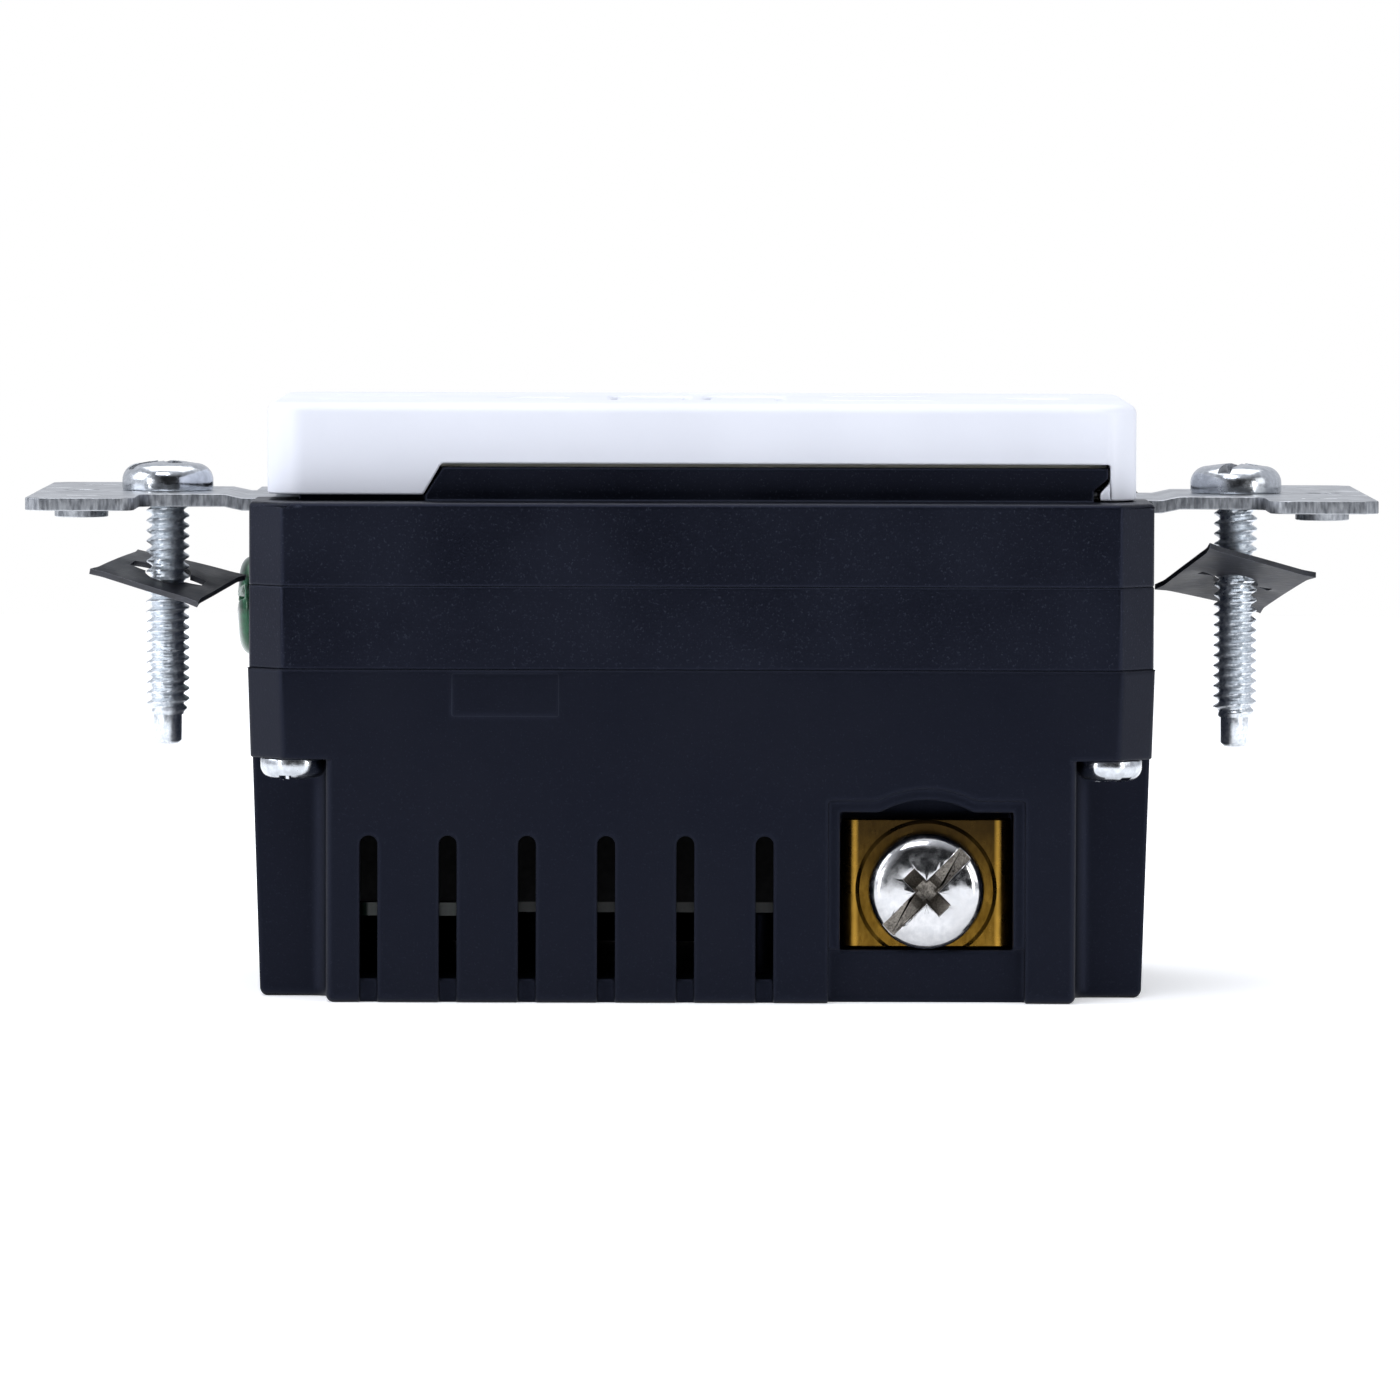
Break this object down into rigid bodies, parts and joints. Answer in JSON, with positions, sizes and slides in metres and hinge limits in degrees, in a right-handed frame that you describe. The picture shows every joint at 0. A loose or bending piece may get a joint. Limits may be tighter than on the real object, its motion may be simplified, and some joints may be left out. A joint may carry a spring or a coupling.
{
  "type": "ground-fault receptacle",
  "caption": "Wall receptacle with a white face, dark layered housing, steel mounting strap, terminal screws, test and reset buttons and a trip mechanism.",
  "frame": {"origin": "midway between the two wall-plate screw holes, on the underside of the strap's ears, which rests on the wall box", "axes": "+Z out of the wall through the face, +X along the strap towards the ground-pin end, +Y across to the hot side"},
  "size_m": [0.1034, 0.0428, 0.0456],
  "materials": {
    "cover_plastic": "smooth moulded, satin",
    "shutter_plastic": "moulded",
    "housing_plastic": "fine moulded grain",
    "galvanized_steel": "galvanized, sheared edges",
    "zinc_screw": "bright zinc plated",
    "fibre": "pressed fibre, punched",
    "brass": "stamped",
    "brass_screw": "cold headed, polished",
    "nickel_screw": "nickel plated",
    "green_screw": "dyed zinc plating",
    "copper": "drawn",
    "silver_pad": "satin",
    "steel": "stamped and turned",
    "spring_steel": "drawn wire",
    "inner_nylon": "moulded",
    "clear_plastic": "polished",
    "board": "solder mask",
    "ferrite": "wound and taped",
    "disc_coating": "dipped",
    "can_sleeve": "shrink sleeve",
    "film_box": "moulded box",
    "chip_epoxy": "moulded epoxy",
    "resistor_coating": "dipped"
  },
  "bodies": {
    "housing": {"back_housing": "housing_plastic", "case_screws": "zinc_screw", "circuit_board": "board", "control_chip": "chip_epoxy", "diodes": "chip_epoxy", "face_cover": "cover_plastic", "film_capacitor": "film_box", "fixed_contact_pads": "silver_pad", "ground_contacts": "brass", "ground_neutral_core": "ferrite", "hot_contact_arm": "copper", "hot_contact_strip": "brass", "hot_line_conductor": "copper", "hot_terminal_plate": "brass", "indicator_lamp": "clear_plastic", "lamp_pipe": "clear_plastic", "left_shutter_spring": "spring_steel", "middle_housing": "housing_plastic", "mounting_strap": "galvanized_steel", "neutral_contact_arm": "copper", "neutral_contact_strip": "brass", "neutral_line_conductor": "copper", "neutral_terminal_plate": "brass", "plunger_spring": "spring_steel", "reset_spring": "spring_steel", "resistors": "resistor_coating", "right_shutter_spring": "spring_steel", "sensing_core": "ferrite", "sensor_case": "inner_nylon", "shutter_tray": "shutter_plastic", "solenoid_bobbin": "inner_nylon", "solenoid_frame": "steel", "solenoid_winding": "copper", "strap_rivets": "galvanized_steel", "supply_capacitor": "can_sleeve", "test_contact_leaf": "copper", "thyristor": "chip_epoxy", "upper_housing": "housing_plastic", "varistor": "disc_coating"},
    "left_retainer": {"left_retainer": "fibre"},
    "left_box_screw": {"left_box_screw": "zinc_screw"},
    "right_retainer": {"right_retainer": "fibre"},
    "right_box_screw": {"right_box_screw": "zinc_screw"},
    "hot_clamp": {"hot_clamp_plate": "brass"},
    "hot_screw": {"hot_terminal_screw": "brass_screw"},
    "neutral_clamp": {"neutral_clamp_plate": "brass"},
    "neutral_screw": {"neutral_terminal_screw": "nickel_screw"},
    "ground_screw": {"ground_screw": "green_screw"},
    "reset": {"reset_button": "cover_plastic", "reset_pin": "steel"},
    "test": {"test_button": "cover_plastic"},
    "left_shutter": {"left_shutter": "shutter_plastic"},
    "right_shutter": {"right_shutter": "shutter_plastic"},
    "plunger": {"solenoid_plunger": "steel"},
    "latch_carrier": {"latch_carrier": "inner_nylon"},
    "latch_plate": {"latch_plate": "steel"}
  },
  "joints": [
    {"name": "left_retainer_lift", "type": "slide", "parent": "housing", "child": "left_retainer", "axis": [0, 0, 1], "range_m": [0, 0.003]},
    {"name": "left_box_screw_turn", "type": "hinge", "parent": "left_retainer", "child": "left_box_screw", "pos_m": [-0.04167, 0, 0], "axis": [0, 0, 1], "continuous": true},
    {"name": "right_retainer_lift", "type": "slide", "parent": "housing", "child": "right_retainer", "axis": [0, 0, 1], "range_m": [0, 0.003]},
    {"name": "right_box_screw_turn", "type": "hinge", "parent": "right_retainer", "child": "right_box_screw", "pos_m": [0.04167, 0, 0], "axis": [0, 0, 1], "continuous": true},
    {"name": "hot_clamp_slide", "type": "slide", "parent": "housing", "child": "hot_clamp", "axis": [0, 1, 0], "range_m": [-0.00106, 0.00079]},
    {"name": "hot_screw_turn", "type": "hinge", "parent": "hot_clamp", "child": "hot_screw", "pos_m": [0.0172, 0.0188, -0.02875], "axis": [0, 1, 0], "range_deg": [-480, 360]},
    {"name": "neutral_clamp_slide", "type": "slide", "parent": "housing", "child": "neutral_clamp", "axis": [0, -1, 0], "range_m": [-0.00106, 0.00079]},
    {"name": "neutral_screw_turn", "type": "hinge", "parent": "neutral_clamp", "child": "neutral_screw", "pos_m": [0.0172, -0.0188, -0.02875], "axis": [0, -1, 0], "range_deg": [-480, 360]},
    {"name": "ground_screw_turn", "type": "hinge", "parent": "housing", "child": "ground_screw", "pos_m": [-0.03515, 0.0129, -0.0086], "axis": [-1, 0, 0], "range_deg": [-180, 180]},
    {"name": "reset_press", "type": "slide", "parent": "housing", "child": "reset", "axis": [0, 0, 1], "range_m": [-0.0022, 0], "stiffness_N_per_m": 1500, "springref_m": 0.001, "deforming": ["reset_spring"]},
    {"name": "test_press", "type": "slide", "parent": "housing", "child": "test", "axis": [0, 0, 1], "range_m": [-0.0015, 0], "stiffness_N_per_m": 800, "springref_m": 0.0008, "deforming": ["test_contact_leaf"]},
    {"name": "left_shutter_slide", "type": "slide", "parent": "housing", "child": "left_shutter", "axis": [0, 1, 0], "range_m": [0, 0.003], "stiffness_N_per_m": 60, "springref_m": -0.001, "deforming": ["left_shutter_spring"]},
    {"name": "right_shutter_slide", "type": "slide", "parent": "housing", "child": "right_shutter", "axis": [0, 1, 0], "range_m": [0, 0.003], "stiffness_N_per_m": 60, "springref_m": -0.001, "deforming": ["right_shutter_spring"]},
    {"name": "plunger_slide", "type": "slide", "parent": "housing", "child": "plunger", "axis": [1, 0, 0], "range_m": [0, 0.001], "stiffness_N_per_m": 250, "springref_m": -0.001, "deforming": ["plunger_spring"]},
    {"name": "carrier_drop", "type": "slide", "parent": "housing", "child": "latch_carrier", "axis": [0, 0, -1], "range_m": [0, 0.0014], "deforming": ["hot_contact_arm", "neutral_contact_arm"]},
    {"name": "latch_slide", "type": "slide", "parent": "latch_carrier", "child": "latch_plate", "axis": [1, 0, 0], "range_m": [0, 0.001]}
  ],
  "couplings": [
    {"joint": "hot_screw_turn", "follows": "hot_clamp_slide", "rad_per_m": 7915.8},
    {"joint": "neutral_screw_turn", "follows": "neutral_clamp_slide", "rad_per_m": 7915.8},
    {"joint": "carrier_drop", "follows": "plunger_slide", "ratio": 1.4},
    {"joint": "latch_slide", "follows": "plunger_slide", "ratio": 1}
  ]
}
